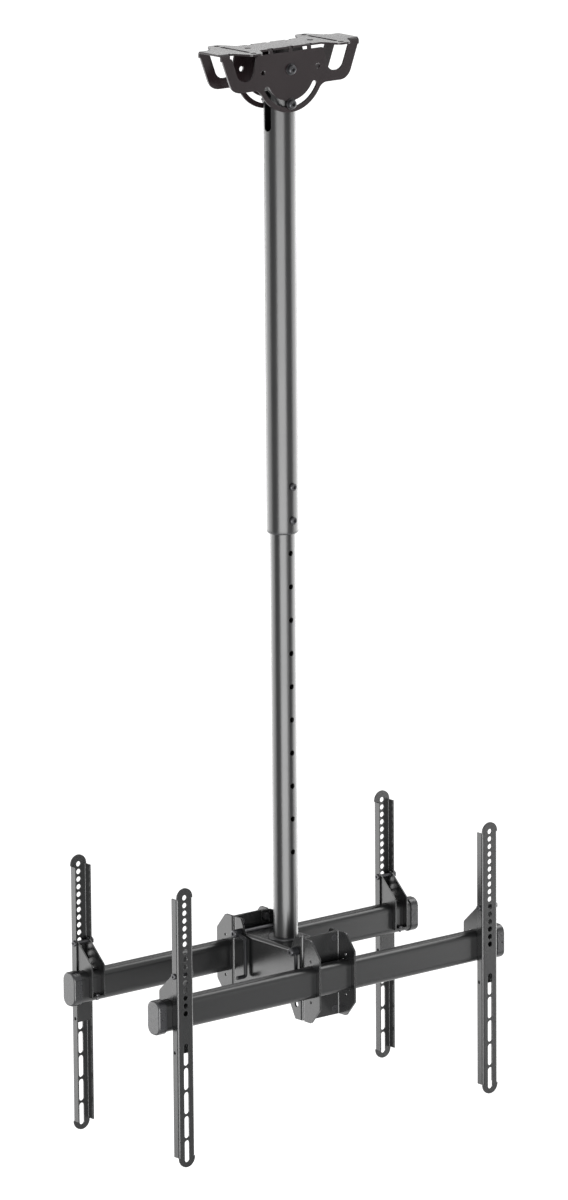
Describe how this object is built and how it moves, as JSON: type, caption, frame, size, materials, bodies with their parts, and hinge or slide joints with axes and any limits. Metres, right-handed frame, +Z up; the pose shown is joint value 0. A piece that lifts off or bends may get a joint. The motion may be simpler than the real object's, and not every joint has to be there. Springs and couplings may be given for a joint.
{
  "type": "tv ceiling mount",
  "caption": "Ceiling mount: a folded bracket holds a telescopic pole with a swivel box that carries displays back to back on rails and tilting arms.",
  "frame": {"origin": "centre of the ceiling plate's upper face, which lies against the ceiling", "axes": "+Z up, the rails run along X, and the two display faces look to -Y and +Y"},
  "size_m": [0.682, 0.262, 1.663],
  "materials": {
    "dark_paint": "satin",
    "fasteners": "satin",
    "cap_plastic": "semi-gloss",
    "bush_plastic": "matt"
  },
  "bodies": {
    "ceiling": {"ceiling_bracket": "dark_paint", "tilt_pivot_bolt": "fasteners", "tilt_pivot_nut": "fasteners", "tilt_pivot_washers": "fasteners"},
    "outer_pole": {"outer_tube": "dark_paint", "tilt_lock_bolt": "fasteners", "tilt_lock_nut": "fasteners", "tilt_lock_washers": "fasteners", "guide_bush": "bush_plastic", "height_screws": "fasteners"},
    "inner_pole": {"inner_tube": "dark_paint", "slide_ring": "bush_plastic", "pole_foot": "dark_paint", "thrust_washer": "bush_plastic"},
    "carrier": {"centre_box": "dark_paint", "swivel_collar": "bush_plastic", "lever_bolts": "fasteners", "lever_nuts": "fasteners", "front_holder": "dark_paint", "front_holder_bolts": "fasteners", "front_holder_nuts": "fasteners", "front_rail": "dark_paint", "front_rail_bolts": "fasteners", "front_left_cap": "cap_plastic", "front_right_cap": "cap_plastic", "back_holder": "dark_paint", "back_holder_bolts": "fasteners", "back_holder_nuts": "fasteners", "back_rail": "dark_paint", "back_rail_bolts": "fasteners", "back_left_cap": "cap_plastic", "back_right_cap": "cap_plastic"},
    "front_lever": {"front_lever": "dark_paint"},
    "back_lever": {"back_lever": "dark_paint"},
    "front_left_hanger": {"front_left_hanger": "dark_paint", "front_left_clamp_screw": "fasteners", "front_left_pivot_bolt": "fasteners", "front_left_pivot_nut": "fasteners"},
    "front_left_arm": {"front_left_arm": "dark_paint"},
    "front_right_hanger": {"front_right_hanger": "dark_paint", "front_right_clamp_screw": "fasteners", "front_right_pivot_bolt": "fasteners", "front_right_pivot_nut": "fasteners"},
    "front_right_arm": {"front_right_arm": "dark_paint"},
    "back_left_hanger": {"back_left_hanger": "dark_paint", "back_left_clamp_screw": "fasteners", "back_left_pivot_bolt": "fasteners", "back_left_pivot_nut": "fasteners"},
    "back_left_arm": {"back_left_arm": "dark_paint"},
    "back_right_hanger": {"back_right_hanger": "dark_paint", "back_right_clamp_screw": "fasteners", "back_right_pivot_bolt": "fasteners", "back_right_pivot_nut": "fasteners"},
    "back_right_arm": {"back_right_arm": "dark_paint"}
  },
  "joints": [
    {"name": "ceiling_tilt", "type": "hinge", "parent": "ceiling", "child": "outer_pole", "pos_m": [0, 0, -0.035], "axis": [0, 1, 0], "range_deg": [-60, 60]},
    {"name": "pole_height", "type": "slide", "parent": "outer_pole", "child": "inner_pole", "axis": [0, 0, 1], "range_m": [0, 0.52]},
    {"name": "pole_swivel", "type": "hinge", "parent": "inner_pole", "child": "carrier", "pos_m": [0, 0, -1.39], "axis": [0, 0, 1], "continuous": true},
    {"name": "front_lever_swing", "type": "hinge", "parent": "carrier", "child": "front_lever", "pos_m": [-0.036, -0.069, -1.386], "axis": [1, 0, 0], "range_deg": [0, 90]},
    {"name": "back_lever_swing", "type": "hinge", "parent": "carrier", "child": "back_lever", "pos_m": [-0.036, 0.069, -1.386], "axis": [-1, 0, 0], "range_deg": [0, 90]},
    {"name": "front_left_slide", "type": "slide", "parent": "carrier", "child": "front_left_hanger", "axis": [1, 0, 0], "range_m": [0, 0.2]},
    {"name": "front_left_tilt", "type": "hinge", "parent": "front_left_hanger", "child": "front_left_arm", "pos_m": [-0.3, -0.1225, -1.364], "axis": [-1, 0, 0], "range_deg": [0, 12]},
    {"name": "front_right_slide", "type": "slide", "parent": "carrier", "child": "front_right_hanger", "axis": [-1, 0, 0], "range_m": [0, 0.2]},
    {"name": "front_right_tilt", "type": "hinge", "parent": "front_right_hanger", "child": "front_right_arm", "pos_m": [0.3, -0.1225, -1.364], "axis": [-1, 0, 0], "range_deg": [0, 12]},
    {"name": "back_left_slide", "type": "slide", "parent": "carrier", "child": "back_left_hanger", "axis": [1, 0, 0], "range_m": [0, 0.2]},
    {"name": "back_left_tilt", "type": "hinge", "parent": "back_left_hanger", "child": "back_left_arm", "pos_m": [-0.3, 0.1225, -1.364], "axis": [1, 0, 0], "range_deg": [0, 12]},
    {"name": "back_right_slide", "type": "slide", "parent": "carrier", "child": "back_right_hanger", "axis": [-1, 0, 0], "range_m": [0, 0.2]},
    {"name": "back_right_tilt", "type": "hinge", "parent": "back_right_hanger", "child": "back_right_arm", "pos_m": [0.3, 0.1225, -1.364], "axis": [1, 0, 0], "range_deg": [0, 12]}
  ]
}
